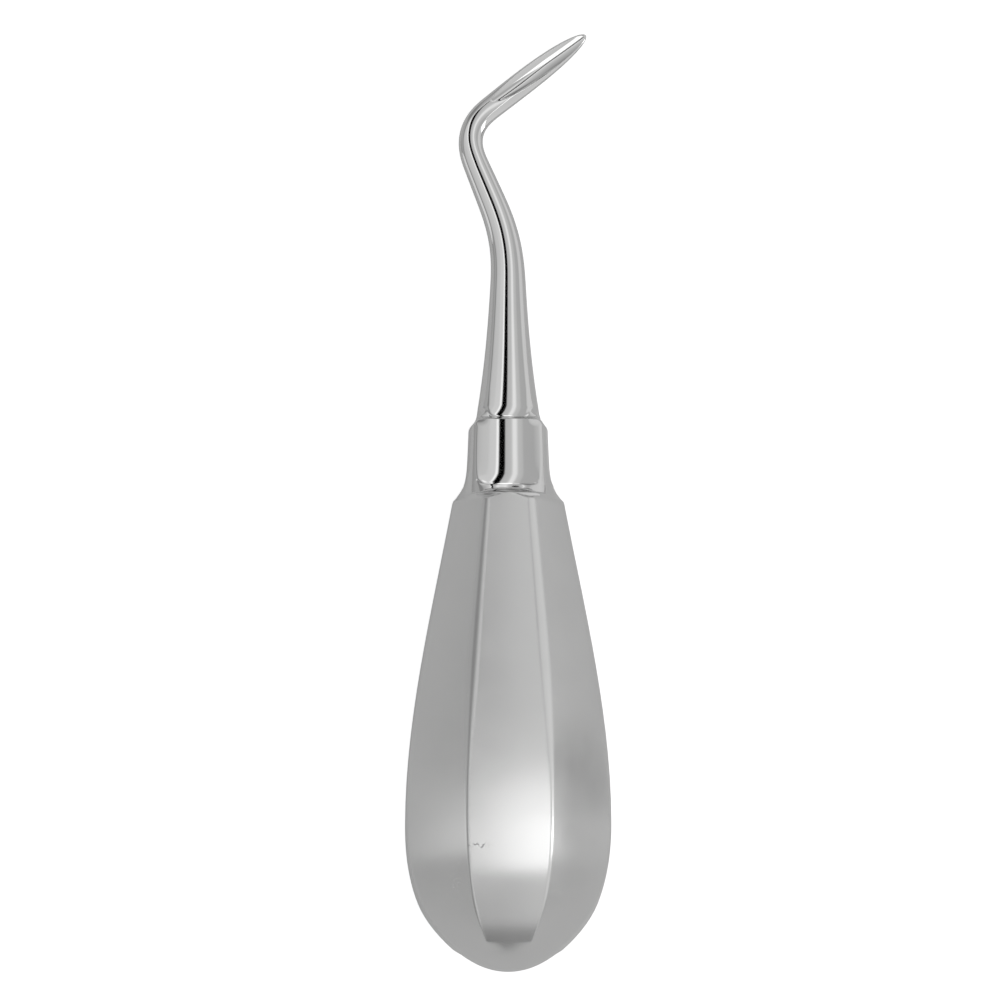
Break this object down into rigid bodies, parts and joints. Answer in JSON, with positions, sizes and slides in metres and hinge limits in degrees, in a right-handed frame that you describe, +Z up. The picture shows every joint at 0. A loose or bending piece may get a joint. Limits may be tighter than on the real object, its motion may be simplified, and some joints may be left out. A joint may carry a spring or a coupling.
{
  "type": "dental elevator",
  "caption": "Bent hand elevator for loosening tooth roots, with a pear-shaped faceted grip, a square ferrule, a tapered shank and a hollow-ground blade.",
  "frame": {"origin": "centre of the object's footprint, on the surface that it lies on", "axes": "+Y along the table from the butt end towards the blade, +Z up, +X to the right with the blade pointing away"},
  "size_m": [0.0318, 0.144, 0.033],
  "materials": {
    "steel": "satin on the grip, polished on the ferrule, shank and blade"
  },
  "bodies": {
    "root": {"elevator": "steel"}
  },
  "joints": []
}
